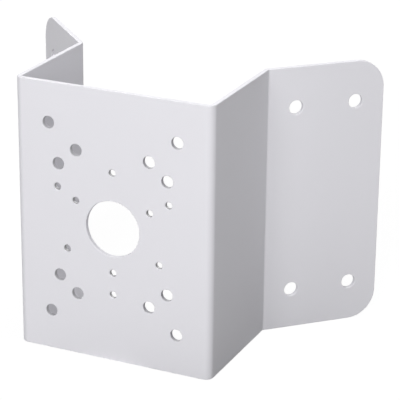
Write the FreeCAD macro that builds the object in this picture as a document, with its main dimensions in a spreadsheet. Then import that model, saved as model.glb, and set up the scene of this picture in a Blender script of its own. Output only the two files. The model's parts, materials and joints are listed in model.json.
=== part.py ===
import FreeCAD, Part
import os
from math import cos, pi, radians, sin, tan

import Sketcher
from FreeCAD import Vector

# Corner bracket folded from one steel sheet.
# A front plate carries the device, two webs run straight back from it, and a flange on each web
# spreads outwards to lie on one wall of a building's corner.
# X runs across the plate, the plate faces -Y, and +Z is up. The bracket stands on its bottom edge,
# with the origin under the middle of its footprint. Lengths are in millimetres, angles in degrees.

NODE = "corner_bracket"

SIZES = [
    ("bracket_height", 170, "height of the sheet, which is the same all along the section"),
    ("plate_width", 128, "front plate, across the outside of the two webs"),
    ("web_depth", 79, "front face to the outside corner where a web meets its flange"),
    ("flange_length", 76, "from that outside corner to the cut edge of the flange"),
    ("flange_angle", 45, "how far a flange leans back from the plane of the plate"),
    ("sheet_thickness", 3, "thickness of the sheet"),
    ("bend_inner_radius", 2, "inner radius of all four folds"),
    ("flange_corner_radius", 18, "rounding of the flange's two outer corners"),
    ("edge_rounding", 0.4, "softening of the sheet's cut edges"),
    ("cable_hole_diameter", 35, "hole for the cables in the middle of the plate"),
    ("mounting_hole_diameter", 7.5, "clearance holes in the plate"),
    ("wide_pattern_width", 83.5, "outermost four clearance holes, side to side"),
    ("wide_pattern_height", 120, "outermost four clearance holes, top to bottom"),
    ("narrow_pattern_width", 47.5, "four clearance holes in a narrow rectangle, side to side"),
    ("narrow_pattern_height", 91, "four clearance holes in a narrow rectangle, top to bottom"),
    ("square_pattern_width", 71, "four clearance holes in a square, side to side and up"),
    ("tapping_diameter", 4.2, "core of the threads in the small holes"),
    ("tap_lead_in", 0.4, "depth of the countersink in front of each thread"),
    ("countersink_angle", 90, "full angle of that countersink"),
    ("outer_tapped_circle", 84, "pitch circle of three tapped holes, two up and one down"),
    ("inner_tapped_circle", 56, "smaller pitch circle of three tapped holes set the same way"),
    ("inverted_tapped_circle", 70, "pitch circle of three tapped holes, one up and two down"),
    ("flange_hole_diameter", 9, "holes for the wall screws in each flange"),
    ("flange_pattern_width", 39, "wall screw holes, along the flange"),
    ("flange_pattern_height", 119, "wall screw holes, top to bottom"),
]

# Each circle of tapped holes has its first hole at one of two angles, measured up from +X.
HOLES_PER_CIRCLE = 3
TWO_UP_ANGLE = 30
ONE_UP_ANGLE = 90

# How a sketch numbers the points of a line or an arc, and its own origin and axes.
START_INDEX = 1
END_INDEX = 2
CENTRE_INDEX = 3
ORIGIN_INDEX = -1
X_AXIS_INDEX = -1
Y_AXIS_INDEX = -2

# Positions and directions closer than this are the same.
TOLERANCE = 1e-6

document = FreeCAD.newDocument("CornerBracket")


def make_sheet():
    """The spreadsheet that holds every driving size under its own name."""
    sheet = document.addObject("Spreadsheet::Sheet", "Sizes")
    for row, (name, value, meaning) in enumerate(SIZES, start=1):
        sheet.set(f"A{row}", name)
        sheet.set(f"B{row}", str(value))
        sheet.set(f"C{row}", meaning)
        sheet.setAlias(f"B{row}", name)
    document.recompute()
    return sheet


sizes = make_sheet()


def size(name):
    """One driving size as a number, for the first guess of a sketch and for finding edges."""
    return float(sizes.get(name))


def origin_plane(body, role):
    """One of the body's own origin planes."""
    for feature in body.Origin.OriginFeatures:
        if feature.Role == role:
            return feature
    raise ValueError(f"no origin plane {role}")


def new_sketch(body, name, plane):
    """An empty sketch that lies on one of the body's origin planes."""
    sketch = body.newObject("Sketcher::SketchObject", name)
    sketch.AttachmentSupport = [(origin_plane(body, plane), "")]
    sketch.MapMode = "FlatFace"
    return sketch


def dimension(sketch, name, constraint, expression):
    """A named dimension of a sketch that follows the spreadsheet."""
    index = sketch.addConstraint(constraint)
    sketch.renameConstraint(index, name)
    sketch.setExpression(f"Constraints.{name}", expression)


def arc(centre, radius, first_angle, last_angle):
    """A counterclockwise arc."""
    circle = Part.Circle(centre, Vector(0, 0, 1), radius)
    return Part.ArcOfCircle(circle, first_angle, last_angle)


def draw_half_section(body):
    """The right half of the folded section, seen from above, one sheet thickness wide all along."""
    sketch = new_sketch(body, "half_section", "XY_Plane")

    thickness = size("sheet_thickness")
    inner_radius = size("bend_inner_radius")
    outer_radius = inner_radius + thickness
    half_width = size("plate_width") / 2
    lean = radians(size("flange_angle"))
    along_flange = Vector(cos(lean), sin(lean), 0)
    through_flange = Vector(-sin(lean), cos(lean), 0)
    flange_corner = Vector(half_width, size("web_depth"), 0)
    flange_turn = pi / 2 - lean
    web_end = size("web_depth") - inner_radius * tan(flange_turn / 2)

    plate_bend = Vector(half_width - outer_radius, outer_radius, 0)
    flange_bend = Vector(half_width + inner_radius, web_end, 0)
    front_tip = flange_corner + along_flange * size("flange_length")
    back_tip = front_tip + through_flange * thickness

    # The outline runs along the front of the sheet, round its cut edge and back along its rear.
    outline = {
        "plate_front": Part.LineSegment(Vector(0, 0, 0), Vector(plate_bend.x, 0, 0)),
        "plate_bend_front": arc(plate_bend, outer_radius, -pi / 2, 0),
        "web_front": Part.LineSegment(
            Vector(half_width, outer_radius, 0), Vector(half_width, web_end, 0)),
        "flange_bend_front": arc(flange_bend, inner_radius, pi / 2 + lean, pi),
        "flange_front": Part.LineSegment(
            flange_bend + through_flange * inner_radius, front_tip),
        "cut_edge": Part.LineSegment(front_tip, back_tip),
        "flange_rear": Part.LineSegment(
            back_tip, flange_bend + through_flange * outer_radius),
        "flange_bend_rear": arc(flange_bend, outer_radius, pi / 2 + lean, pi),
        "web_rear": Part.LineSegment(
            Vector(half_width - thickness, web_end, 0),
            Vector(half_width - thickness, outer_radius, 0)),
        "plate_bend_rear": arc(plate_bend, inner_radius, -pi / 2, 0),
        "plate_rear": Part.LineSegment(
            Vector(plate_bend.x, thickness, 0), Vector(0, thickness, 0)),
        "middle": Part.LineSegment(Vector(0, thickness, 0), Vector(0, 0, 0)),
    }
    line = {name: sketch.addGeometry(shape) for name, shape in outline.items()}
    corner = sketch.addGeometry(Part.Point(flange_corner), True)

    smooth_joints = [
        ("plate_front", END_INDEX, "plate_bend_front", START_INDEX),
        ("plate_bend_front", END_INDEX, "web_front", START_INDEX),
        ("web_front", END_INDEX, "flange_bend_front", END_INDEX),
        ("flange_bend_front", START_INDEX, "flange_front", START_INDEX),
        ("flange_rear", END_INDEX, "flange_bend_rear", START_INDEX),
        ("flange_bend_rear", END_INDEX, "web_rear", START_INDEX),
        ("web_rear", END_INDEX, "plate_bend_rear", END_INDEX),
        ("plate_bend_rear", START_INDEX, "plate_rear", START_INDEX),
    ]
    for first, first_point, second, second_point in smooth_joints:
        sketch.addConstraint(Sketcher.Constraint(
            "Tangent", line[first], first_point, line[second], second_point))

    sharp_joints = [
        ("flange_front", END_INDEX, "cut_edge", START_INDEX),
        ("cut_edge", END_INDEX, "flange_rear", START_INDEX),
        ("plate_rear", END_INDEX, "middle", START_INDEX),
        ("middle", END_INDEX, "plate_front", START_INDEX),
        ("plate_bend_front", CENTRE_INDEX, "plate_bend_rear", CENTRE_INDEX),
        ("flange_bend_front", CENTRE_INDEX, "flange_bend_rear", CENTRE_INDEX),
    ]
    for first, first_point, second, second_point in sharp_joints:
        sketch.addConstraint(Sketcher.Constraint(
            "Coincident", line[first], first_point, line[second], second_point))

    sketch.addConstraint([
        Sketcher.Constraint("Coincident", line["plate_front"], START_INDEX, ORIGIN_INDEX, START_INDEX),
        Sketcher.Constraint("PointOnObject", line["plate_rear"], END_INDEX, Y_AXIS_INDEX),
        Sketcher.Constraint("Horizontal", line["plate_front"]),
        Sketcher.Constraint("Horizontal", line["plate_rear"]),
        Sketcher.Constraint("Vertical", line["web_front"]),
        Sketcher.Constraint("Vertical", line["web_rear"]),
        Sketcher.Constraint("Parallel", line["flange_front"], line["flange_rear"]),
        Sketcher.Constraint("Perpendicular", line["flange_front"], line["cut_edge"]),
        Sketcher.Constraint("Equal", line["plate_bend_rear"], line["flange_bend_front"]),
        Sketcher.Constraint("PointOnObject", corner, START_INDEX, line["web_front"]),
        Sketcher.Constraint("PointOnObject", corner, START_INDEX, line["flange_front"]),
    ])

    dimension(sketch, "thickness", Sketcher.Constraint(
        "DistanceY", line["plate_front"], START_INDEX, line["plate_rear"], END_INDEX, thickness),
        "Sizes.sheet_thickness")
    dimension(sketch, "inner_radius", Sketcher.Constraint(
        "Radius", line["plate_bend_rear"], inner_radius),
        "Sizes.bend_inner_radius")
    dimension(sketch, "half_width", Sketcher.Constraint(
        "DistanceX", ORIGIN_INDEX, START_INDEX, corner, START_INDEX, half_width),
        "Sizes.plate_width / 2")
    dimension(sketch, "web_depth", Sketcher.Constraint(
        "DistanceY", ORIGIN_INDEX, START_INDEX, corner, START_INDEX, flange_corner.y),
        "Sizes.web_depth")
    dimension(sketch, "flange_length", Sketcher.Constraint(
        "Distance", corner, START_INDEX, line["flange_front"], END_INDEX, size("flange_length")),
        "Sizes.flange_length")
    dimension(sketch, "flange_angle", Sketcher.Constraint(
        "Angle", line["flange_front"], lean),
        "Sizes.flange_angle")
    return sketch


def raise_section(body, sketch):
    """The half section at the full height of the bracket."""
    pad = body.newObject("PartDesign::Pad", "half_sheet")
    pad.Profile = sketch
    pad.setExpression("Length", "Sizes.bracket_height")
    document.recompute()
    return pad


def place_on_plate(sketch):
    """Puts a sketch's origin at the middle of the plate's front face."""
    sketch.setExpression("AttachmentOffset.Base.y", "Sizes.bracket_height / 2")


def place_on_flange(sketch):
    """Turns a sketch into the flange's front face, with its origin at the flange's middle."""
    upright = Vector(0, 1, 0)
    sketch.AttachmentOffset = FreeCAD.Placement(
        Vector(0, 0, 0), FreeCAD.Rotation(upright, size("flange_angle")))
    along = "Sizes.flange_length / 2"
    sketch.setExpression("AttachmentOffset.Rotation.Angle", "Sizes.flange_angle")
    sketch.setExpression(
        "AttachmentOffset.Base.x",
        f"Sizes.plate_width / 2 + {along} * cos(Sizes.flange_angle * 1 deg)")
    sketch.setExpression("AttachmentOffset.Base.y", "Sizes.bracket_height / 2")
    sketch.setExpression(
        "AttachmentOffset.Base.z",
        f"-(Sizes.web_depth + {along} * sin(Sizes.flange_angle * 1 deg))")


def add_circle(sketch, x, y, diameter):
    """One circle of a hole sketch."""
    return sketch.addGeometry(Part.Circle(Vector(x, y, 0), Vector(0, 0, 1), diameter / 2))


def cut_through_sheet(body, sketch, name):
    """Cuts the circles of a sketch through one thickness of the sheet."""
    before = body.Shape.Volume
    pocket = body.newObject("PartDesign::Pocket", name)
    pocket.Profile = sketch
    pocket.setExpression("Length", "Sizes.sheet_thickness")
    document.recompute()
    if pocket.Shape.Volume >= before:
        raise ValueError(f"{name} cuts nothing")
    return pocket


def four_holes(body, name, place, width_name, height_name, diameter_name):
    """Four equal holes at the corners of a rectangle around the sketch's origin."""
    sketch = new_sketch(body, f"{name}_sketch", "XZ_Plane")
    place(sketch)
    x = size(width_name) / 2
    y = size(height_name) / 2
    corners = [(x, y), (-x, y), (-x, -y), (x, -y)]
    first, left, opposite, below = [
        add_circle(sketch, across, up, size(diameter_name)) for across, up in corners]
    sketch.addConstraint([
        Sketcher.Constraint("Symmetric", first, CENTRE_INDEX, left, CENTRE_INDEX, Y_AXIS_INDEX),
        Sketcher.Constraint("Symmetric", first, CENTRE_INDEX, below, CENTRE_INDEX, X_AXIS_INDEX),
        Sketcher.Constraint(
            "Symmetric", first, CENTRE_INDEX, opposite, CENTRE_INDEX, ORIGIN_INDEX, START_INDEX),
        Sketcher.Constraint("Equal", first, left),
        Sketcher.Constraint("Equal", first, opposite),
        Sketcher.Constraint("Equal", first, below),
    ])
    dimension(sketch, "across", Sketcher.Constraint(
        "DistanceX", left, CENTRE_INDEX, first, CENTRE_INDEX, size(width_name)),
        f"Sizes.{width_name}")
    dimension(sketch, "upright", Sketcher.Constraint(
        "DistanceY", below, CENTRE_INDEX, first, CENTRE_INDEX, size(height_name)),
        f"Sizes.{height_name}")
    dimension(sketch, "diameter", Sketcher.Constraint(
        "Diameter", first, size(diameter_name)),
        f"Sizes.{diameter_name}")
    return cut_through_sheet(body, sketch, name)


def cable_hole(body):
    """The large round hole in the middle of the plate."""
    sketch = new_sketch(body, "cable_hole_sketch", "XZ_Plane")
    place_on_plate(sketch)
    circle = add_circle(sketch, 0, 0, size("cable_hole_diameter"))
    sketch.addConstraint(Sketcher.Constraint(
        "Coincident", circle, CENTRE_INDEX, ORIGIN_INDEX, START_INDEX))
    dimension(sketch, "diameter", Sketcher.Constraint(
        "Diameter", circle, size("cable_hole_diameter")), "Sizes.cable_hole_diameter")
    return cut_through_sheet(body, sketch, "cable_hole")


def tapped_circle(body, name, circle_name, first_angle):
    """Three tapped holes, evenly spaced on a pitch circle around the middle of the plate."""
    sketch = new_sketch(body, f"{name}_sketch", "XZ_Plane")
    place_on_plate(sketch)
    pitch_radius = size(circle_name) / 2
    turn = radians(first_angle)
    x = pitch_radius * cos(turn)
    y = pitch_radius * sin(turn)
    circle = add_circle(sketch, x, y, size("tapping_diameter"))
    ray = sketch.addGeometry(Part.LineSegment(Vector(0, 0, 0), Vector(x, y, 0)), True)
    sketch.addConstraint([
        Sketcher.Constraint("Coincident", ray, START_INDEX, ORIGIN_INDEX, START_INDEX),
        Sketcher.Constraint("Coincident", ray, END_INDEX, circle, CENTRE_INDEX),
        Sketcher.Constraint("Angle", ray, turn),
    ])
    dimension(sketch, "pitch_radius", Sketcher.Constraint(
        "Distance", ray, pitch_radius), f"Sizes.{circle_name} / 2")
    dimension(sketch, "diameter", Sketcher.Constraint(
        "Diameter", circle, size("tapping_diameter")), "Sizes.tapping_diameter")
    document.recompute()

    before = body.Shape.Volume
    hole = body.newObject("PartDesign::Hole", f"{name}_first")
    hole.Profile = sketch
    document.recompute()
    hole.DepthType = "ThroughAll"
    hole.HoleCutType = "Countersink"
    hole.HoleCutCustomValues = True
    hole.setExpression("HoleCutCountersinkAngle", "Sizes.countersink_angle")
    hole.setExpression("Diameter", "Sizes.tapping_diameter")
    hole.setExpression(
        "HoleCutDiameter",
        "Sizes.tapping_diameter + 2 * Sizes.tap_lead_in * tan(Sizes.countersink_angle * 0.5 deg)")
    document.recompute()

    pattern = body.newObject("PartDesign::PolarPattern", name)
    pattern.Originals = [hole]
    pattern.Axis = (sketch, ["N_Axis"])
    pattern.Occurrences = HOLES_PER_CIRCLE
    body.Tip = pattern
    document.recompute()
    one_hole = before - hole.Shape.Volume
    holes_made = round((before - pattern.Shape.Volume) / one_hole)
    if holes_made < HOLES_PER_CIRCLE:
        raise ValueError(f"{name} misses a hole")
    return pattern


def edge_names(shape, wanted):
    """The names of the edges that a test picks out."""
    return [f"Edge{number}" for number, edge in enumerate(shape.Edges, start=1) if wanted(edge)]


def round_flange_corners(body):
    """The large rounding of the flange's top and bottom outer corners."""
    base = body.Tip
    lean = radians(size("flange_angle"))
    through_flange = Vector(-sin(lean), cos(lean), 0)

    def crosses_flange(edge):
        if edge.Curve.TypeId != "Part::GeomLine":
            return False
        return edge.Curve.Direction.cross(through_flange).Length < TOLERANCE

    fillet = body.newObject("PartDesign::Fillet", "flange_corners")
    fillet.Base = (base, edge_names(base.Shape, crosses_flange))
    fillet.setExpression("Radius", "Sizes.flange_corner_radius")
    document.recompute()
    return fillet


def mirror_half(body):
    """The left half, as a mirror image of everything made so far."""
    mirrored = body.newObject("PartDesign::Mirrored", "both_halves")
    mirrored.TransformMode = "Whole shape"
    mirrored.MirrorPlane = (origin_plane(body, "YZ_Plane"), [""])
    body.Tip = mirrored
    document.recompute()
    return mirrored


def soften_cut_edges(body):
    """Rounds both rims of the sheet's outline. Each rim is smooth all round, so one edge leads on."""
    base = body.Tip
    height = size("bracket_height")
    depths = (0, size("sheet_thickness"))

    def starts_a_rim(edge):
        if edge.Curve.TypeId != "Part::GeomLine":
            return False
        middle = edge.CenterOfMass
        on_top = abs(middle.z - height) < TOLERANCE
        return on_top and any(abs(middle.y - depth) < TOLERANCE for depth in depths)

    fillet = body.newObject("PartDesign::Fillet", "softened_edges")
    fillet.Base = (base, edge_names(base.Shape, starts_a_rim))
    fillet.setExpression("Radius", "Sizes.edge_rounding")
    document.recompute()
    return fillet


def centre_over_footprint(body):
    """Moves the bracket so that the origin is under the middle of its depth."""
    lean = "Sizes.flange_angle * 1 deg"
    reach = f"Sizes.flange_length * sin({lean}) + Sizes.sheet_thickness * cos({lean})"
    rounded_off = f"Sizes.edge_rounding * (sin({lean}) + cos({lean}) - 1)"
    body.setExpression(
        "Placement.Base.y", f"-(Sizes.web_depth + {reach} - {rounded_off}) / 2")
    document.recompute()


def make_bracket():
    """The whole folded sheet with its holes."""
    body = document.addObject("PartDesign::Body", "Bracket")
    body.Label = NODE
    raise_section(body, draw_half_section(body))
    four_holes(body, "flange_holes", place_on_flange,
               "flange_pattern_width", "flange_pattern_height", "flange_hole_diameter")
    round_flange_corners(body)
    mirror_half(body)
    soften_cut_edges(body)
    cable_hole(body)
    four_holes(body, "wide_pattern", place_on_plate,
               "wide_pattern_width", "wide_pattern_height", "mounting_hole_diameter")
    four_holes(body, "narrow_pattern", place_on_plate,
               "narrow_pattern_width", "narrow_pattern_height", "mounting_hole_diameter")
    four_holes(body, "square_pattern", place_on_plate,
               "square_pattern_width", "square_pattern_width", "mounting_hole_diameter")
    tapped_circle(body, "outer_tapped", "outer_tapped_circle", TWO_UP_ANGLE)
    tapped_circle(body, "inner_tapped", "inner_tapped_circle", TWO_UP_ANGLE)
    tapped_circle(body, "inverted_tapped", "inverted_tapped_circle", ONE_UP_ANGLE)
    centre_over_footprint(body)
    return body


def check_document():
    """Stops if any object of the document failed to build."""
    for item in document.Objects:
        if "Invalid" in item.State or "Error" in item.State:
            raise ValueError(f"{item.Name} failed: {item.State}")


def check_solid(body):
    """Stops unless the body is one valid solid."""
    shape = body.Shape
    if shape.isNull() or not shape.isValid() or len(shape.Solids) != 1:
        raise ValueError(f"{body.Label} isn't one valid solid")


bracket = make_bracket()
check_document()
check_solid(bracket)

os.makedirs("parts", exist_ok=True)
bracket.Shape.exportStep(os.path.join("parts", f"{bracket.Label}.step"))

use_triangles = False
use_tolerance = False
box = bracket.Shape.optimalBoundingBox(use_triangles, use_tolerance)
print(f"{bracket.Label}: volume {bracket.Shape.Volume:.1f} mm3, {len(bracket.Shape.Faces)} faces")
print(f"  x {box.XMin:.3f} to {box.XMax:.3f}, y {box.YMin:.3f} to {box.YMax:.3f},"
      f" z {box.ZMin:.3f} to {box.ZMax:.3f}")
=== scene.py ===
import json
import math

import bpy
from bpy.props import FloatProperty, FloatVectorProperty, IntProperty, PointerProperty
from mathutils import Matrix, Vector


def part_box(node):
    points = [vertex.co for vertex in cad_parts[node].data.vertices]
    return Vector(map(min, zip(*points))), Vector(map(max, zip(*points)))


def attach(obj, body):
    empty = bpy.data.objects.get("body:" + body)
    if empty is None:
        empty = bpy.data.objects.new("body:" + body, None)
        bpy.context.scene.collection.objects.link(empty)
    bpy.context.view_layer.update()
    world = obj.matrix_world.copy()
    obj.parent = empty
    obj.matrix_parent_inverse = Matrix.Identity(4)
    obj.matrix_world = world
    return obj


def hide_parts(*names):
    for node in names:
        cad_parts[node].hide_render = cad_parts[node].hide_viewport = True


# A corner bracket for a camera or an alarm: one steel sheet, cut flat with all of its holes,
# folded four times and powder coated white. The sheet is built here the same way. Its blank lies
# flat with the front face up, every hole and cut edge gets its wall and its rounded rims, the
# small holes get a thread, and the whole blank is then folded.
# Lengths are in metres and angles in radians, unless a comment says otherwise.

bl_info = {
    "name": "Corner Bracket",
    "version": (1, 0, 0),
    "blender": (4, 5, 0),
    "location": "3D View > Sidebar > Bracket",
    "description": "Builds a folded and powder coated corner bracket and the studio around it",
    "category": "Add Mesh",
}

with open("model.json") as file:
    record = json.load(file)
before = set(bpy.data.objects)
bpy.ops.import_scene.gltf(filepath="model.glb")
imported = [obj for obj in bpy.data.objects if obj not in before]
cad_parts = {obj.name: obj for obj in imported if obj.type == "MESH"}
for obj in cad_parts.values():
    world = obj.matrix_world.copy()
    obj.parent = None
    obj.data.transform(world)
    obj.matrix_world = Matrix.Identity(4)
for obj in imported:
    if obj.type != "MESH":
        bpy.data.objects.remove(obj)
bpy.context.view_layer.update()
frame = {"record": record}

MILLIMETRE = 0.001
CAD_NODE = "corner_bracket"
BODY = "root"

# Radius of the rounding of cut edges. It takes a little off a flange's tip, which is added again
# below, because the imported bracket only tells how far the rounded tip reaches.
EDGE_ROUNDING = 0.4 * MILLIMETRE

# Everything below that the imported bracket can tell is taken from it.
mounts = {mount["name"]: mount for mount in frame["record"]["mounts"]}
lowest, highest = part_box(CAD_NODE)


def mount_size(mount, size):
    """A length that the record gives for one of its mounts."""
    return mounts[mount]["dims"][size] * MILLIMETRE


def pattern_size(mount):
    """Width and height of a rectangle of four holes."""
    return mount_size(mount, "spacing_x_mm"), mount_size(mount, "spacing_y_mm")


FRONT = mounts["device_face"]["pos_m"][1]
MIDDLE = mounts["cable_hole"]["pos_m"][2]
THICKNESS = mount_size("cable_hole", "length_mm")

to_wall = Vector(mounts["right_wall_face"]["axis"])
FLANGE_ANGLE = math.atan2(-to_wall.x, to_wall.y)
along_flange = Vector((math.cos(FLANGE_ANGLE), math.sin(FLANGE_ANGLE), 0))
flange_middle = Vector(mounts["right_wall_face"]["pos_m"]) - to_wall * THICKNESS
lost_to_rounding = EDGE_ROUNDING * (along_flange.x + along_flange.y - 1)
FLANGE_LENGTH = 2 * (highest.x + lost_to_rounding - flange_middle.x) / along_flange.x
fold_corner = flange_middle - along_flange * FLANGE_LENGTH / 2

inner_wall_holes = Vector(mounts["right_inner_wall_holes"]["pos_m"])
outer_wall_holes = Vector(mounts["right_outer_wall_holes"]["pos_m"])
FLANGE_PATTERN = (
    (outer_wall_holes - inner_wall_holes).length, mount_size("right_inner_wall_holes", "pcd_mm"))


class BracketSizes(bpy.types.PropertyGroup):
    """The sheet's own sizes."""

    height: FloatProperty(
        name="Height", description="Height of the sheet all along its section",
        default=highest.z - lowest.z, min=0, subtype="DISTANCE")
    plate_width: FloatProperty(
        name="Plate Width", description="Front plate, across the outside of both webs",
        default=2 * fold_corner.x, min=0, subtype="DISTANCE")
    web_depth: FloatProperty(
        name="Web Depth", description="Front face to the corner where a web meets its flange",
        default=fold_corner.y - FRONT, min=0, subtype="DISTANCE")
    flange_length: FloatProperty(
        name="Flange Length", description="That corner to the flange's cut edge",
        default=FLANGE_LENGTH, min=0, subtype="DISTANCE")
    flange_angle: FloatProperty(
        name="Flange Angle", description="How far a flange leans back from the plate's plane",
        default=FLANGE_ANGLE, min=0, subtype="ANGLE")
    thickness: FloatProperty(
        name="Thickness", description="Thickness of the sheet",
        default=THICKNESS, min=0, subtype="DISTANCE")
    bend_radius: FloatProperty(
        name="Bend Radius", description="Inner radius of all four folds",
        default=2 * MILLIMETRE, min=0, subtype="DISTANCE")
    corner_radius: FloatProperty(
        name="Corner Radius", description="Rounding of a flange's outer corners",
        default=18 * MILLIMETRE, min=0, subtype="DISTANCE")
    edge_rounding: FloatProperty(
        name="Edge Rounding", description="Rounding of cut edges and of hole rims",
        default=EDGE_ROUNDING, min=0, subtype="DISTANCE")


class HoleSizes(bpy.types.PropertyGroup):
    """The sizes and places of the holes."""

    cable_radius: FloatProperty(
        name="Cable Hole Radius", description="Large hole in the middle of the plate",
        default=mount_size("cable_hole", "r_mm"), min=0, subtype="DISTANCE")
    mounting_radius: FloatProperty(
        name="Mounting Hole Radius", description="Clearance holes in the plate",
        default=mount_size("wide_pattern", "hole_r_mm"), min=0, subtype="DISTANCE")
    wide_pattern: FloatVectorProperty(
        name="Wide Pattern", description="Width and height of the outermost rectangle of holes",
        default=pattern_size("wide_pattern"), size=2, subtype="XYZ_LENGTH")
    narrow_pattern: FloatVectorProperty(
        name="Narrow Pattern", description="Width and height of the narrow rectangle of holes",
        default=pattern_size("narrow_pattern"), size=2, subtype="XYZ_LENGTH")
    square_pattern: FloatVectorProperty(
        name="Square Pattern", description="Width and height of the square of holes",
        default=pattern_size("square_pattern"), size=2, subtype="XYZ_LENGTH")
    wall_radius: FloatProperty(
        name="Wall Hole Radius", description="Holes for the wall screws in the flanges",
        default=mount_size("right_inner_wall_holes", "hole_r_mm"), min=0, subtype="DISTANCE")
    wall_pattern: FloatVectorProperty(
        name="Wall Pattern", description="Width and height of a flange's rectangle of holes",
        default=FLANGE_PATTERN, size=2, subtype="XYZ_LENGTH")
    outer_circle: FloatProperty(
        name="Outer Circle", description="Pitch radius of three tapped holes, two up and one down",
        default=mount_size("outer_tapped", "pcd_mm") / 2, min=0, subtype="DISTANCE")
    inner_circle: FloatProperty(
        name="Inner Circle", description="Pitch radius of the smaller circle set the same way",
        default=mount_size("inner_tapped", "pcd_mm") / 2, min=0, subtype="DISTANCE")
    inverted_circle: FloatProperty(
        name="Inverted Circle", description="Pitch radius of the circle with one up and two down",
        default=mount_size("inverted_tapped", "pcd_mm") / 2, min=0, subtype="DISTANCE")
    core_radius: FloatProperty(
        name="Core Radius", description="Core of the threads in the small holes",
        default=mount_size("outer_tapped", "hole_r_mm"), min=0, subtype="DISTANCE")
    thread_depth: FloatProperty(
        name="Thread Depth", description="How deep the thread and its countersink cut",
        default=0.4 * MILLIMETRE, min=0, subtype="DISTANCE")
    thread_pitch: FloatProperty(
        name="Thread Pitch", description="Rise of the thread in one turn",
        default=0.8 * MILLIMETRE, min=0, subtype="DISTANCE")
    thread_seed: IntProperty(
        name="Thread Seed", description="Chooses where each thread starts",
        default=4, min=0)


class FinishLook(bpy.types.PropertyGroup):
    """Colours and surface of the two finishes."""

    coat_colour: FloatVectorProperty(
        name="Coat Colour", description="Colour of the powder coat",
        default=(0.833, 0.825, 0.868), min=0, max=1, subtype="COLOR")
    coat_roughness: FloatProperty(
        name="Coat Roughness", description="Roughness of the powder coat",
        default=0.55, min=0, max=1, subtype="FACTOR")
    peel_size: FloatProperty(
        name="Peel Size", description="Width of a bump of the coat's orange peel",
        default=1.6 * MILLIMETRE, min=0, subtype="DISTANCE")
    peel_height: FloatProperty(
        name="Peel Height", description="Height of the coat's orange peel",
        default=0.02 * MILLIMETRE, min=0, subtype="DISTANCE")
    steel_colour: FloatVectorProperty(
        name="Steel Colour", description="Colour of the bare steel in the threads",
        default=(0.33, 0.33, 0.335), min=0, max=1, subtype="COLOR")


class StudioLook(bpy.types.PropertyGroup):
    """Camera and light."""

    azimuth: FloatProperty(
        name="Azimuth", description="How far the camera stands round to the right",
        default=math.radians(24.67), subtype="ANGLE")
    elevation: FloatProperty(
        name="Elevation", description="How far the camera looks down",
        default=math.radians(21.02), subtype="ANGLE")
    roll: FloatProperty(
        name="Roll", description="Turn of the camera about its line of sight",
        default=math.radians(0.62), subtype="ANGLE")
    target: FloatVectorProperty(
        name="Target", description="Point at the middle of the picture",
        default=(56.32 * MILLIMETRE, FRONT, 113.15 * MILLIMETRE), subtype="XYZ_LENGTH")
    distance: FloatProperty(
        name="Distance", description="Camera to target",
        default=1.0725, min=0, subtype="DISTANCE")
    lens: FloatProperty(
        name="Lens", description="Focal length in millimetres on a sensor 36 mm wide",
        default=169.5, min=1)
    key_strength: FloatProperty(
        name="Key Strength", description="Light of the key softbox, which the others follow",
        default=0.625, min=0)
    fill_strength: FloatProperty(
        name="Fill Strength", description="Light from all round",
        default=0.08, min=0)


class Value:
    """An output of a node. Python arithmetic on it adds Math nodes to its tree."""

    def __init__(self, tree, socket):
        self.tree = tree
        self.socket = socket

    def __add__(self, other):
        return self.tree.math("ADD", self, other)

    def __radd__(self, other):
        return self.tree.math("ADD", other, self)

    def __sub__(self, other):
        return self.tree.math("SUBTRACT", self, other)

    def __rsub__(self, other):
        return self.tree.math("SUBTRACT", other, self)

    def __mul__(self, other):
        return self.tree.math("MULTIPLY", self, other)

    def __rmul__(self, other):
        return self.tree.math("MULTIPLY", other, self)

    def __truediv__(self, other):
        return self.tree.math("DIVIDE", self, other)

    def __neg__(self):
        return self.tree.math("MULTIPLY", self, -1)

    def output(self, name):
        """Another output of the same node."""
        return Value(self.tree, self.socket.node.outputs[name])


class Tree:
    """A node tree that nodes are added to."""

    def __init__(self, node_tree):
        self.nodes = node_tree.nodes
        self.links = node_tree.links

    def add(self, kind, settings=None, sockets=None):
        """A node of one type. Its settings are set first, then its sockets get values or links."""
        node = self.nodes.new(kind)
        for name, setting in (settings or {}).items():
            setattr(node, name, setting)
        for key, value in (sockets or {}).items():
            self.feed(self.find(node.inputs, key), value)
        for socket in node.outputs:
            if socket.enabled:
                return Value(self, socket)
        return None

    @staticmethod
    def find(sockets, key):
        """A socket by its place, or the one in use under a name."""
        if isinstance(key, int):
            return sockets[key]
        for socket in sockets:
            if socket.enabled and socket.name == key:
                return socket
        raise KeyError(f"no socket {key}")

    def feed(self, socket, value):
        """Links an output to a socket, or a list of outputs in their order, or sets its value."""
        if isinstance(value, Value):
            self.links.new(value.socket, socket)
        elif isinstance(value, list):
            for one in reversed(value):
                self.links.new(one.socket, socket)
        else:
            socket.default_value = value

    def math(self, operation, *values):
        """One Math node."""
        return self.add("ShaderNodeMath", {"operation": operation}, dict(enumerate(values)))

    def clamp(self, value, lowest_value, highest_value):
        """The value, kept between two others."""
        return self.math("MINIMUM", self.math("MAXIMUM", value, lowest_value), highest_value)

    def vector(self, x, y, z):
        """Three numbers as a vector."""
        return self.add("ShaderNodeCombineXYZ", sockets={"X": x, "Y": y, "Z": z})

    def separate(self, vector):
        """The three numbers of a vector."""
        x = self.add("ShaderNodeSeparateXYZ", sockets={"Vector": vector})
        return x, x.output("Y"), x.output("Z")


SOCKET_KINDS = {
    "geometry": "NodeSocketGeometry",
    "length": "NodeSocketFloat",
    "count": "NodeSocketInt",
    "pattern": "NodeSocketVector",
    "material": "NodeSocketMaterial",
}
RESULT = "Geometry"


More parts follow.
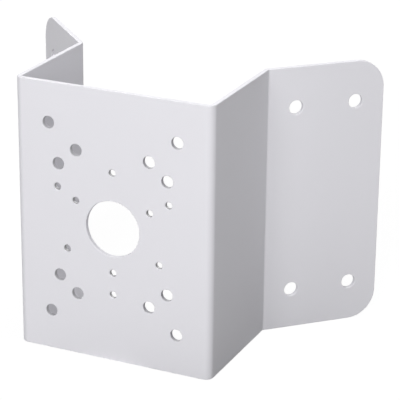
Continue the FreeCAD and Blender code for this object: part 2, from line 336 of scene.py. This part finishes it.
def new_geometry_tree(name, sockets):
    """An empty Geometry Nodes tree with named inputs: the tree, and each input's Value."""
    group = bpy.data.node_groups.new(name, "GeometryNodeTree")
    for socket_name, kind in sockets.items():
        group.interface.new_socket(
            socket_name, in_out="INPUT", socket_type=SOCKET_KINDS[kind])
    group.interface.new_socket(RESULT, in_out="OUTPUT", socket_type="NodeSocketGeometry")
    tree = Tree(group)
    inputs = tree.nodes.new("NodeGroupInput")
    values = {socket_name: Value(tree, inputs.outputs[socket_name]) for socket_name in sockets}
    return group, tree, values


def end_tree(tree, geometry):
    """Sends a geometry out of its tree."""
    tree.add("NodeGroupOutput", sockets={RESULT: geometry})


def use_group(tree, group, sockets):
    """A node that runs another tree."""
    return tree.add("GeometryNodeGroup", {"node_tree": group}, sockets)


def join(tree, *pieces):
    """Several geometries as one."""
    return tree.add("GeometryNodeJoinGeometry", sockets={"Geometry": list(pieces)})


# How finely round shapes are divided.
RIM_STEPS = 4
BEND_STEPS = 20
CORNER_STEPS = 36
CABLE_HOLE_STEPS = 144
HOLE_STEPS = 64
THREAD_STEPS = 56
THREAD_ROWS = 72

# Where parts of the sheet meet, points closer than this are welded.
WELD_DISTANCE = 0.003 * MILLIMETRE

# Flat parts of a thread, as shares of its pitch.
CREST_FLAT = 1 / 4
ROOT_FLAT = 1 / 8

# Painted shade on the walls of small holes: none from the first radius up, full dark at the
# second.
UNSHADED_HOLE_RADIUS = 5 * MILLIMETRE
DARKEST_HOLE_RADIUS = 1.5 * MILLIMETRE

# Where the first of three holes on a circle stands, so that two of them are up, or only one.
TWO_UP = math.radians(30)
ONE_UP = math.radians(90)

# How the blank lies: X along the developed section, Y up the sheet, -Z from its front to its rear.


def line(tree, start, end, y=0):
    """A straight path along the section, at one height of the sheet."""
    return tree.add("GeometryNodeCurvePrimitiveLine", sockets={
        "Start": tree.vector(start, y, 0), "End": tree.vector(end, y, 0)})


def circle(tree, radius, steps):
    """A circle about the origin."""
    return tree.add(
        "GeometryNodeCurvePrimitiveCircle", sockets={"Resolution": steps, "Radius": radius})


def rectangle(tree, width, height):
    """A rectangle about the origin."""
    return tree.add(
        "GeometryNodeCurvePrimitiveQuadrilateral", {"mode": "RECTANGLE"},
        {"Width": width, "Height": height})


def open_quad(tree, corners):
    """A path through four corners, given as pairs."""
    points = {f"Point {number}": tree.vector(x, y, 0) for number, (x, y) in enumerate(corners, 1)}
    closed = tree.add("GeometryNodeCurvePrimitiveQuadrilateral", {"mode": "POINTS"}, points)
    return tree.add(
        "GeometryNodeSetSplineCyclic", sockets={"Geometry": closed, "Cyclic": False})


def fillet(tree, curve, radius, steps):
    """A path with its corners rounded."""
    return tree.add("GeometryNodeFilletCurve", {"mode": "POLY"}, {
        "Curve": curve, "Count": steps, "Radius": radius, "Limit Radius": True})


def transform(tree, geometry, how, value):
    """A geometry after one Translation, Rotation or Scale."""
    return tree.add("GeometryNodeTransform", sockets={"Geometry": geometry, how: value})


def mark(tree, geometry, name, value, data_type, domain):
    """A geometry that holds a value under a name, for the materials."""
    return tree.add(
        "GeometryNodeStoreNamedAttribute", {"data_type": data_type, "domain": domain},
        {"Geometry": geometry, "Name": name, "Value": value})


def sweep(tree, path, profile):
    """A surface along a path. The profile's X points to the right of the path's direction."""
    return tree.add("GeometryNodeCurveToMesh", sockets={"Curve": path, "Profile Curve": profile})


def make_rim_tree():
    """The cut edge along a path on the front face that keeps the sheet on its left."""
    group, tree, given = new_geometry_tree("cut_edge", {
        "Path": "geometry", "Thickness": "length", "Rounding": "length"})
    outward = given["Rounding"]
    profile = open_quad(tree, [
        (0, 0), (outward, 0), (outward, given["Thickness"]), (0, given["Thickness"])])
    end_tree(tree, sweep(tree, given["Path"], fillet(tree, profile, outward, RIM_STEPS)))
    return group


def make_faces_tree():
    """The front and rear faces inside a set of closed outlines."""
    group, tree, given = new_geometry_tree("sheet_faces", {
        "Outlines": "geometry", "Thickness": "length"})
    front = tree.add(
        "GeometryNodeFillCurve", {"mode": "NGONS"}, {"Curve": given["Outlines"]})
    behind = transform(tree, front, "Translation", tree.vector(0, 0, -given["Thickness"]))
    rear = tree.add("GeometryNodeFlipFaces", sockets={"Mesh": behind})
    end_tree(tree, join(tree, front, rear))
    return group


def make_strip_tree():
    """A plain stretch of the sheet between two places along the section."""
    group, tree, given = new_geometry_tree("sheet_strip", {
        "Start": "length", "End": "length", "Steps": "count",
        "Height": "length", "Thickness": "length", "Rounding": "length"})
    path = tree.add("GeometryNodeResampleCurve", {"mode": "COUNT"}, {
        "Curve": line(tree, given["Start"], given["End"]), "Count": given["Steps"] + 1})
    section = fillet(
        tree, rectangle(tree, given["Height"], given["Thickness"]), given["Rounding"], RIM_STEPS)
    below_path = transform(tree, section, "Translation", tree.vector(0, given["Thickness"] / 2, 0))
    end_tree(tree, sweep(tree, path, below_path))
    return group


def make_thread_tree():
    """The threaded wall of a small hole about the origin: a grid, wrapped round into a tube.

    The wall opens into a coated countersink at both ends. The rest is marked as threaded.
    """
    group, tree, given = new_geometry_tree("threaded_wall", {
        "Core Radius": "length", "Thread Depth": "length", "Pitch": "length",
        "Thickness": "length"})
    grid = tree.add("GeometryNodeMeshGrid", sockets={
        "Size X": 1, "Size Y": 1, "Vertices X": THREAD_STEPS + 1, "Vertices Y": THREAD_ROWS + 1})
    x, y, _ = tree.separate(tree.add("GeometryNodeInputPosition"))
    turn = x + 0.5
    depth = (y + 0.5) * given["Thickness"]

    # A triangle wave that is cut off at both ends gives the thread its flat crest and root.
    travel = tree.math("FRACT", depth / given["Pitch"] - turn + 1)
    wave = tree.math("ABSOLUTE", travel * 2 - 1)
    flank = tree.clamp((wave - CREST_FLAT) / (1 - CREST_FLAT - ROOT_FLAT), 0, 1)
    thread = given["Core Radius"] + given["Thread Depth"] * flank
    mouth = given["Core Radius"] + given["Thread Depth"]
    near_face = tree.math("MINIMUM", depth, given["Thickness"] - depth)
    radius = tree.math("MAXIMUM", thread, mouth - near_face)
    angle = turn * math.tau
    wrapped = tree.add("GeometryNodeSetPosition", sockets={
        "Geometry": grid,
        "Position": tree.vector(
            radius * tree.math("COSINE", angle), radius * tree.math("SINE", angle), -depth)})
    _, _, z = tree.separate(tree.add("GeometryNodeInputPosition"))
    below_countersink = tree.math(
        "GREATER_THAN", tree.math("MINIMUM", -z, given["Thickness"] + z), given["Thread Depth"])
    end_tree(tree, mark(tree, wrapped, "threaded", below_countersink, "BOOLEAN", "FACE"))
    return group


class Fold:
    """Where the bends begin and end along the developed section, from the folded sizes."""

    def __init__(self, tree, given):
        outer_radius = given["Bend Radius"] + given["Thickness"]
        self.middle_radius = given["Bend Radius"] + given["Thickness"] / 2
        self.flange_turn = math.pi / 2 - given["Flange Angle"]
        self.setback = given["Bend Radius"] * tree.math("TANGENT", self.flange_turn / 2)
        self.plate_end = given["Plate Width"] / 2 - outer_radius
        self.web_start = self.plate_end + self.middle_radius * (math.pi / 2)
        self.web_end = self.web_start + (given["Web Depth"] - outer_radius - self.setback)
        self.flange_start = self.web_end + self.middle_radius * self.flange_turn


def make_fold_tree():
    """Folds a flat blank: rolls both halves round the two bends that each of them has."""
    group, tree, given = new_geometry_tree("fold", {
        "Blank": "geometry", "Plate Width": "length", "Web Depth": "length",
        "Flange Angle": "length", "Thickness": "length", "Bend Radius": "length"})
    fold = Fold(tree, given)
    x, up, z = tree.separate(tree.add("GeometryNodeInputPosition"))
    side = tree.math("SIGN", x)
    along = tree.math("ABSOLUTE", x)

    on_plate = tree.math("MINIMUM", along, fold.plate_end)
    first_turn = tree.clamp((along - fold.plate_end) / fold.middle_radius, 0, math.pi / 2)
    on_web = tree.clamp(along - fold.web_start, 0, fold.web_end - fold.web_start)
    second_turn = tree.clamp((along - fold.web_end) / fold.middle_radius, 0, fold.flange_turn)
    on_flange = tree.math("MAXIMUM", along - fold.flange_start, 0)

    def cosine(angle):
        return tree.math("COSINE", angle)

    def sine(angle):
        return tree.math("SINE", angle)

    across = (
        on_plate + fold.middle_radius * (sine(first_turn) + 1 - cosine(second_turn))
        + on_flange * sine(fold.flange_turn))
    back = (
        given["Thickness"] / 2
        + fold.middle_radius * (1 - cosine(first_turn) + sine(second_turn))
        + on_web + on_flange * cosine(fold.flange_turn))
    heading = first_turn - second_turn
    behind_middle = -z - given["Thickness"] / 2
    folded = tree.vector(
        side * (across - behind_middle * sine(heading)),
        back + behind_middle * cosine(heading) + FRONT,
        up + MIDDLE)
    end_tree(tree, tree.add("GeometryNodeSetPosition", sockets={
        "Geometry": given["Blank"], "Position": folded}))
    return group


def hole_circle(tree, radius, steps):
    """The path of a hole's rim, which runs so that the sheet is on its left."""
    return tree.add("GeometryNodeReverseCurve", sockets={"Curve": circle(tree, radius, steps)})


def at_points(tree, pattern, thing, rotation=(0, 0, 0)):
    """A copy of a thing at each point of a pattern."""
    copies = tree.add("GeometryNodeInstanceOnPoints", sockets={
        "Points": pattern, "Instance": thing, "Rotation": rotation})
    return tree.add("GeometryNodeRealizeInstances", sockets={"Geometry": copies})


def four_places(tree, size):
    """Where four holes stand: the corners of a rectangle of some width and height."""
    width, height, _ = tree.separate(size)
    return rectangle(tree, width, height)


def three_places(tree, radius, first_angle):
    """Where three holes stand: evenly spaced on a circle."""
    return transform(tree, circle(tree, radius, 3), "Rotation", (0, 0, first_angle))


SHEET_INPUTS = {
    "Height": "length", "Plate Width": "length", "Web Depth": "length",
    "Flange Length": "length", "Flange Angle": "length", "Thickness": "length",
    "Bend Radius": "length", "Corner Radius": "length", "Edge Rounding": "length",
    "Cable Hole Radius": "length", "Mounting Hole Radius": "length",
    "Wide Pattern": "pattern", "Narrow Pattern": "pattern", "Square Pattern": "pattern",
    "Wall Hole Radius": "length", "Wall Pattern": "pattern",
    "Outer Circle": "length", "Inner Circle": "length", "Inverted Circle": "length",
    "Core Radius": "length", "Thread Depth": "length", "Thread Pitch": "length",
    "Thread Seed": "count", "Coat": "material", "Steel": "material",
}


class SheetTree:
    """Builds the tree that makes the whole sheet."""

    def __init__(self):
        self.group, self.tree, self.given = new_geometry_tree("folded_sheet", SHEET_INPUTS)
        self.rim_group = make_rim_tree()
        self.faces_group = make_faces_tree()
        self.strip_group = make_strip_tree()
        self.thread_group = make_thread_tree()
        self.fold = Fold(self.tree, self.given)
        self.rounding = self.given["Edge Rounding"]
        self.half_face = self.given["Height"] / 2 - self.rounding

    def rims(self, path):
        """The cut edges along a path."""
        return use_group(self.tree, self.rim_group, {
            "Path": path, "Thickness": self.given["Thickness"], "Rounding": self.rounding})

    def small_rims(self, path, radius):
        """The walls of small holes, marked for painted shade: the smaller the hole, the darker."""
        share = self.tree.clamp(
            (UNSHADED_HOLE_RADIUS - radius) / (UNSHADED_HOLE_RADIUS - DARKEST_HOLE_RADIUS), 0, 1)
        return mark(self.tree, self.rims(path), "thin_coat", share, "FLOAT", "FACE")

    def faces(self, *outlines):
        """The two faces inside some outlines."""
        return use_group(self.tree, self.faces_group, {
            "Outlines": join(self.tree, *outlines), "Thickness": self.given["Thickness"]})

    def strip(self, start, end, steps):
        """A plain stretch of the sheet."""
        return use_group(self.tree, self.strip_group, {
            "Start": start, "End": end, "Steps": steps, "Height": self.given["Height"],
            "Thickness": self.given["Thickness"], "Rounding": self.rounding})

    def threads(self, patterns):
        """The threaded walls, each turned to a start of its own by whole steps of its mesh."""
        tree = self.tree
        wall = use_group(tree, self.thread_group, {
            "Core Radius": self.given["Core Radius"], "Thread Depth": self.given["Thread Depth"],
            "Pitch": self.given["Thread Pitch"], "Thickness": self.given["Thickness"]})
        steps = tree.add("FunctionNodeRandomValue", {"data_type": "INT"}, {
            "Min": 0, "Max": THREAD_STEPS - 1, "Seed": self.given["Thread Seed"]})
        turned = tree.vector(0, 0, steps * (math.tau / THREAD_STEPS))
        return at_points(tree, patterns, wall, turned)

    def plate(self):
        """The front plate with all of its holes."""
        tree = self.tree
        given = self.given
        clearance_rim = hole_circle(
            tree, given["Mounting Hole Radius"] + self.rounding, HOLE_STEPS)
        places = join(tree, *[
            four_places(tree, given[f"{name} Pattern"]) for name in ("Wide", "Narrow", "Square")])
        clearance = at_points(tree, places, clearance_rim)
        cable = hole_circle(tree, given["Cable Hole Radius"] + self.rounding, CABLE_HOLE_STEPS)
        tapped = join(
            tree, three_places(tree, given["Outer Circle"], TWO_UP),
            three_places(tree, given["Inner Circle"], TWO_UP),
            three_places(tree, given["Inverted Circle"], ONE_UP))
        mouth = hole_circle(tree, given["Core Radius"] + given["Thread Depth"], THREAD_STEPS)
        end = self.fold.plate_end
        outline = rectangle(tree, end * 2, self.half_face * 2)
        return join(
            tree,
            self.faces(outline, clearance, cable, at_points(tree, tapped, mouth)),
            self.small_rims(clearance, given["Mounting Hole Radius"]),
            self.rims(cable),
            self.rims(line(tree, end, -end, self.half_face)),
            self.rims(line(tree, -end, end, -self.half_face)),
            self.threads(tapped))

    def flange(self):
        """The right flange with its rounded corners and four holes."""
        tree = self.tree
        given = self.given
        start = self.fold.flange_start
        corner = start - self.fold.setback
        tip = corner + given["Flange Length"] - self.rounding
        edge = fillet(
            tree,
            open_quad(tree, [
                (start, -self.half_face), (tip, -self.half_face),
                (tip, self.half_face), (start, self.half_face)]),
            given["Corner Radius"] - self.rounding, CORNER_STEPS)
        outline = tree.add(
            "GeometryNodeSetSplineCyclic", sockets={"Geometry": edge, "Cyclic": True})
        rim = hole_circle(tree, given["Wall Hole Radius"] + self.rounding, HOLE_STEPS)
        holes = transform(
            tree, at_points(tree, four_places(tree, given["Wall Pattern"]), rim),
            "Translation", tree.vector(corner + given["Flange Length"] / 2, 0, 0))
        return join(
            tree, self.faces(outline, holes), self.rims(edge),
            self.small_rims(holes, given["Wall Hole Radius"]))

    def half(self):
        """What lies to the right of the plate: bend, web, bend and flange."""
        fold = self.fold
        return join(
            self.tree,
            self.strip(fold.plate_end, fold.web_start, BEND_STEPS),
            self.strip(fold.web_start, fold.web_end, 1),
            self.strip(fold.web_end, fold.flange_start, BEND_STEPS // 2),
            self.flange())

    def finish(self):
        """Joins, welds, marks, folds and paints the sheet."""
        tree = self.tree
        right = self.half()
        left = tree.add("GeometryNodeFlipFaces", sockets={
            "Mesh": transform(tree, right, "Scale", (-1, 1, 1))})
        blank = tree.add("GeometryNodeMergeByDistance", sockets={
            "Geometry": join(tree, self.plate(), right, left), "Distance": WELD_DISTANCE})

        _, _, z = tree.separate(tree.add("GeometryNodeInputPosition"))
        off_middle = tree.math("ABSOLUTE", z + self.given["Thickness"] / 2)
        inside = self.given["Thickness"] / 2 - off_middle
        at_edge = tree.math("MINIMUM", inside / self.rounding, 1)
        marked = mark(tree, blank, "cut_edge", at_edge, "FLOAT", "POINT")

        folded = use_group(tree, make_fold_tree(), {
            "Blank": marked,
            **{name: self.given[name] for name in (
                "Plate Width", "Web Depth", "Flange Angle", "Thickness", "Bend Radius")}})
        whole = tree.add("GeometryNodeRealizeInstances", sockets={"Geometry": folded})
        coated = tree.add("GeometryNodeSetMaterial", sockets={
            "Geometry": whole, "Material": self.given["Coat"]})
        threaded = tree.add(
            "GeometryNodeInputNamedAttribute", {"data_type": "BOOLEAN"}, {"Name": "threaded"})
        end_tree(tree, tree.add("GeometryNodeSetMaterial", sockets={
            "Geometry": coated, "Selection": threaded, "Material": self.given["Steel"]}))
        return self.group


def new_material(name):
    """A material with an empty tree: the material, its Tree and its Object coordinates."""
    material = bpy.data.materials.new(name)
    material.use_nodes = True
    material.node_tree.nodes.clear()
    tree = Tree(material.node_tree)
    coordinates = tree.add("ShaderNodeTexCoord").output("Object")
    return material, tree, coordinates


def show(tree, shader):
    """Sends a shader to the surface."""
    tree.add("ShaderNodeOutputMaterial", sockets={"Surface": shader})


def noise(tree, coordinates, size, seed):
    """Noise with bumps of a given width. The seed moves it, so that no two noises are alike."""
    moved = tree.add("ShaderNodeVectorMath", {"operation": "ADD"}, {
        0: coordinates, 1: (seed, seed, seed)})
    return tree.add("ShaderNodeTexNoise", {"noise_dimensions": "3D"}, {
        "Vector": moved, "Scale": 1 / size, "Detail": 2, "Roughness": 0.5})


def shaded(tree, colour, shade):
    """A colour made lighter or darker from place to place."""
    return tree.add("ShaderNodeVectorMath", {"operation": "SCALE"}, {
        0: tuple(colour), "Scale": shade})


def bumpy(tree, distance, height):
    """The surface's normal over bumps, whose full height is the distance."""
    return tree.add("ShaderNodeBump", sockets={
        "Strength": 1, "Distance": distance, "Height": height})


# How wide the bumps of each noise are. The grain's are a share of the orange peel's.
CLOUD_SIZE = 45 * MILLIMETRE
SPECK_SIZE = 0.35 * MILLIMETRE
GRAIN_SIZE = 1 / 4
STAIN_SIZE = 1.5 * MILLIMETRE
TOOL_MARK_SIZE = 0.12 * MILLIMETRE

# What they add to the shade, roughness and bumps of the coat. Cut edges take from the first two.
PLAIN_SHADE = 0.985
CLOUD_SHADE, CLOUD_ROUGHNESS = 0.02, 0.08
SPECK_SHADE, SPECK_ROUGHNESS = 0.01, 0.06
EDGE_SHADE, EDGE_ROUGHNESS = 0.015, 0.05
GRAIN_HEIGHT = 0.35

# The same for the steel of the threads.
CLEAN_STEEL_SHADE, STAIN_SHADE = 0.7, 0.5
CLEAN_STEEL_ROUGHNESS, STAIN_ROUGHNESS = 0.4, 0.25
TOOL_MARK_HEIGHT = 0.004 * MILLIMETRE


def coat_material(look):
    """White powder coat with a fine orange peel: glossier and a little darker on cut edges, with
    painted shade on the walls of small holes.
    """
    material, tree, coordinates = new_material("powder_coat")
    edge = tree.add("ShaderNodeAttribute", {"attribute_name": "cut_edge"}).output("Fac")
    # Painted shade on the walls of small holes, growing inside the sheet's thickness.
    hole_shade = tree.add("ShaderNodeAttribute", {"attribute_name": "thin_coat"}).output("Fac") * edge
    clouds = noise(tree, coordinates, CLOUD_SIZE, seed=3)
    specks = noise(tree, coordinates, SPECK_SIZE, seed=5)
    peel = noise(tree, coordinates, look.peel_size, seed=7)
    grain = noise(tree, coordinates, look.peel_size * GRAIN_SIZE, seed=11)

    shade = PLAIN_SHADE + clouds * CLOUD_SHADE + specks * SPECK_SHADE - edge * EDGE_SHADE
    colour = shaded(tree, look.coat_colour, shade * (1 - hole_shade))
    uneven = (clouds - 0.5) * CLOUD_ROUGHNESS + (specks - 0.5) * SPECK_ROUGHNESS
    roughness = look.coat_roughness + uneven - edge * EDGE_ROUGHNESS
    normal = bumpy(tree, look.peel_height, peel + grain * GRAIN_HEIGHT)
    show(tree, tree.add("ShaderNodeBsdfPrincipled", sockets={
        "Base Color": colour, "Roughness": roughness, "IOR": 1.5, "Normal": normal}))
    return material


def steel_material(look):
    """Bare steel of the cut threads, with tool marks and a trace of cutting oil."""
    material, tree, coordinates = new_material("cut_steel")
    stain = noise(tree, coordinates, STAIN_SIZE, seed=13)
    marks = noise(tree, coordinates, TOOL_MARK_SIZE, seed=17)
    colour = shaded(tree, look.steel_colour, CLEAN_STEEL_SHADE + stain * STAIN_SHADE)
    roughness = CLEAN_STEEL_ROUGHNESS + stain * STAIN_ROUGHNESS
    normal = bumpy(tree, TOOL_MARK_HEIGHT, marks)
    show(tree, tree.add("ShaderNodeBsdfPrincipled", sockets={
        "Base Color": colour, "Metallic": 1, "Roughness": roughness, "Normal": normal}))
    return material


def new_object(name, data):
    """An object in the scene."""
    one = bpy.data.objects.new(name, data)
    bpy.context.scene.collection.objects.link(one)
    return one


def set_inputs(modifier, values):
    """Sets all of a Geometry Nodes modifier's inputs by name."""
    for item in modifier.node_group.interface.items_tree:
        if item.in_out == "INPUT":
            modifier[item.identifier] = values[item.name]


def labelled(settings):
    """The values of some settings under their labels, which are the names of the tree's inputs.

    A pattern's width and height are given a third number, because the tree takes a vector.
    """
    values = {}
    for key in settings.__annotations__:
        setting = settings.bl_rna.properties[key]
        value = getattr(settings, key)
        values[setting.name] = (*value, 0) if setting.is_array else value
    return values


def freeze(source, name):
    """A plain object with the mesh that another object's modifiers make, without empty slots."""
    evaluated = source.evaluated_get(bpy.context.evaluated_depsgraph_get())
    mesh = bpy.data.meshes.new_from_object(evaluated)
    mesh.name = name
    while mesh.materials and not mesh.materials[0]:
        mesh.materials.pop(index=0)
    plain = new_object(name, mesh)
    bpy.data.objects.remove(source)
    return plain


# Where two faces turn by more than this, the edge between them stays sharp.
SHARP_ANGLE = math.radians(35)

# The most that large faces can count above small ones, which keeps the plate's shading flat.
LARGE_FACE_WEIGHT = 100


class BRACKET_OT_fold_sheet(bpy.types.Operator):
    """Cut, thread, fold and coat the sheet"""

    bl_idname = "bracket.fold_sheet"
    bl_label = "Fold Sheet"

    def execute(self, context):
        look = context.scene.bracket_finish
        blank = new_object("blank", bpy.data.meshes.new("blank"))
        modifier = blank.modifiers.new("folded_sheet", "NODES")
        modifier.node_group = SheetTree().finish()
        set_inputs(modifier, {
            **labelled(context.scene.bracket_sizes), **labelled(context.scene.bracket_holes),
            "Coat": coat_material(look), "Steel": steel_material(look)})
        piece = freeze(blank, "folded_sheet")
        mesh = piece.data
        mesh.shade_smooth()
        mesh.set_sharp_from_angle(angle=SHARP_ANGLE)
        weighted = piece.modifiers.new("flat_faces", "WEIGHTED_NORMAL")
        weighted.mode = "FACE_AREA"
        weighted.weight = LARGE_FACE_WEIGHT
        weighted.keep_sharp = True
        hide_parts(CAD_NODE)
        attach(piece, BODY)
        return {"FINISHED"}


# In millimetres, as the lens is.
SENSOR_WIDTH = 36

SOFTBOX_AIM = Vector((0.02, 0, MIDDLE))

# Width of a softbox for each metre that it is away.
SOFTBOX_SPREAD = 0.54

# Watts of a softbox of strength 1 that is a metre away.
SOFTBOX_POWER = 4 * math.pi

# Each softbox: azimuth and elevation in degrees, distance, and share of the key's strength.
SOFTBOXES = {
    "key": (9, 24, 2.2, 1),
    "side": (114, 50, 2.2, 0.285),
    "top": (7, 89, 1.5, 0.36),
    "back": (214, 36, 1.5, 0.31),
}


def view_axes(azimuth, elevation, roll):
    """The camera's right, up and backward directions."""
    forward = Vector((
        -math.sin(azimuth) * math.cos(elevation),
        math.cos(azimuth) * math.cos(elevation),
        -math.sin(elevation)))
    level = Vector((math.cos(azimuth), math.sin(azimuth), 0))
    upright = level.cross(forward)
    right = level * math.cos(roll) + upright * math.sin(roll)
    up = upright * math.cos(roll) - level * math.sin(roll)
    return right, up, -forward


def add_camera(studio):
    """The camera at the photograph's viewing angle."""
    camera = new_object("camera", bpy.data.cameras.new("camera"))
    right, up, backward = view_axes(studio.azimuth, studio.elevation, studio.roll)
    place = Vector(studio.target) + backward * studio.distance
    turn = Matrix((right, up, backward)).transposed().to_4x4()
    camera.matrix_world = Matrix.Translation(place) @ turn
    camera.data.sensor_width = SENSOR_WIDTH
    camera.data.lens = studio.lens
    bpy.context.scene.camera = camera


def softbox(name, azimuth, elevation, distance, strength):
    """A square lamp aimed at the sheet, which it lights the same from any distance."""
    lamp = bpy.data.lights.new(name, "AREA")
    lamp.shape = "SQUARE"
    lamp.size = distance * SOFTBOX_SPREAD
    lamp.energy = strength * SOFTBOX_POWER * distance ** 2
    light = new_object(name, lamp)
    _, _, backward = view_axes(math.radians(azimuth), math.radians(elevation), 0)
    light.location = SOFTBOX_AIM + backward * distance
    light.rotation_mode = "QUATERNION"
    light.rotation_quaternion = backward.to_track_quat("Z", "Y")


def seen_directly(tree):
    """1 where a camera, glossy or transmission ray arrives, 0 for the light on the object."""
    path = tree.add("ShaderNodeLightPath")
    seen = path + path.output("Is Glossy Ray") + path.output("Is Transmission Ray")
    return tree.math("MINIMUM", seen, 1)


def make_world(fill):
    """Even light from all round, with a white background."""
    world = bpy.data.worlds.new("studio")
    world.use_nodes = True
    world.node_tree.nodes.clear()
    tree = Tree(world.node_tree)
    surface = tree.add("ShaderNodeBackground", sockets={
        "Color": (1, 1, 1, 1), "Strength": fill + seen_directly(tree) * (1 - fill)})
    tree.add("ShaderNodeOutputWorld", sockets={"Surface": surface})
    bpy.context.scene.world = world


FLOOR_SIZE = 8

# How pale the floor is to the light, how much paler a painted pool of light makes it inside
# the bracket, and how pale it is to the camera.
FLOOR_TO_LIGHT = 0.33
LIGHT_POOL_PALENESS = 0.63
FLOOR_TO_CAMERA = 0.95

# What the camera sees of the floor is partly this glow, and only the rest of it shows the shadow.
FLOOR_GLOW = 1.04
FLOOR_GLOW_SHARE = 0.88

# Where the floor changes: a centre, and the radii where that starts and where it is complete.
# To the light it holds a painted shadow, black at the foot and turning grey away from it, and a
# painted pool of light inside the channel. It is all glow in the surroundings.
FOOT_SHADOW = ((0.07, -0.01, 0), 0.04, 0.16)
CHANNEL = ((0, -0.006, 0), 0.068, 0.058)
SURROUNDINGS = ((0, 0, 0), 0.5, 1)


def ring(tree, coordinates, centre, start, end):
    """A share that goes from 0 to 1 between two distances from a centre."""
    away = tree.add("ShaderNodeVectorMath", {"operation": "DISTANCE"}, {
        0: coordinates, 1: centre})
    return tree.clamp((away - start) / (end - start), 0, 1)


def make_floor():
    """A floor that is white to the camera but throws back less of the lamps' light, with a painted
    shadow at the foot and a painted pool of light in the channel.
    """
    half = FLOOR_SIZE / 2
    corners = [(-half, -half, 0), (half, -half, 0), (half, half, 0), (-half, half, 0)]
    mesh = bpy.data.meshes.new("floor")
    mesh.from_pydata(corners, [], [(0, 1, 2, 3)])
    floor = new_object("floor", mesh)
    material, tree, coordinates = new_material("pale_floor")
    outside_foot_shadow = ring(tree, coordinates, *FOOT_SHADOW)
    in_light_pool = ring(tree, coordinates, *CHANNEL)
    in_surroundings = ring(tree, coordinates, *SURROUNDINGS)
    seen = seen_directly(tree)

    # A painted shadow at the foot and a painted pool of light in the channel, seen only by the
    # light.
    to_light = outside_foot_shadow * FLOOR_TO_LIGHT + in_light_pool * LIGHT_POOL_PALENESS
    pale = to_light + seen * (FLOOR_TO_CAMERA - to_light)
    diffuse = tree.add("ShaderNodeBsdfDiffuse", sockets={"Color": tree.vector(pale, pale, pale)})
    glow = tree.add("ShaderNodeEmission", sockets={"Strength": FLOOR_GLOW})
    glow_share = FLOOR_GLOW_SHARE + in_surroundings * (1 - FLOOR_GLOW_SHARE)
    show(tree, tree.add("ShaderNodeMixShader", sockets={
        0: seen * glow_share, 1: diffuse, 2: glow}))
    mesh.materials.append(material)


class BRACKET_OT_set_stage(bpy.types.Operator):
    """Set up the floor, the light and the camera"""

    bl_idname = "bracket.set_stage"
    bl_label = "Set Stage"

    def execute(self, context):
        studio = context.scene.bracket_studio
        add_camera(studio)
        make_world(studio.fill_strength)
        make_floor()
        for name, (azimuth, elevation, distance, share) in SOFTBOXES.items():
            softbox(name, azimuth, elevation, distance, studio.key_strength * share)
        context.scene.view_settings.view_transform = "Standard"
        return {"FINISHED"}


class BRACKET_PT_panel(bpy.types.Panel):
    """Lists the bracket's operators and sizes"""

    bl_idname = "BRACKET_PT_panel"
    bl_label = "Corner Bracket"
    bl_space_type = "VIEW_3D"
    bl_region_type = "UI"
    bl_category = "Bracket"

    def draw(self, context):
        self.layout.operator(BRACKET_OT_fold_sheet.bl_idname)
        self.layout.operator(BRACKET_OT_set_stage.bl_idname)
        for name, (group, title) in SETTINGS.items():
            box = self.layout.box()
            box.label(text=title)
            for prop in group.__annotations__:
                box.prop(getattr(context.scene, name), prop)


SETTINGS = {
    "bracket_sizes": (BracketSizes, "Sheet"),
    "bracket_holes": (HoleSizes, "Holes"),
    "bracket_finish": (FinishLook, "Finish"),
    "bracket_studio": (StudioLook, "Studio"),
}
CLASSES = [
    *[group for group, _ in SETTINGS.values()],
    BRACKET_OT_fold_sheet,
    BRACKET_OT_set_stage,
    BRACKET_PT_panel,
]


def register():
    for one in CLASSES:
        bpy.utils.register_class(one)
    for name, (group, _) in SETTINGS.items():
        setattr(bpy.types.Scene, name, PointerProperty(type=group))


def unregister():
    for name in SETTINGS:
        delattr(bpy.types.Scene, name)
    for one in reversed(CLASSES):
        bpy.utils.unregister_class(one)


def main():
    register()
    bpy.ops.bracket.fold_sheet()
    bpy.ops.bracket.set_stage()


if __name__ == "__main__":
    main()
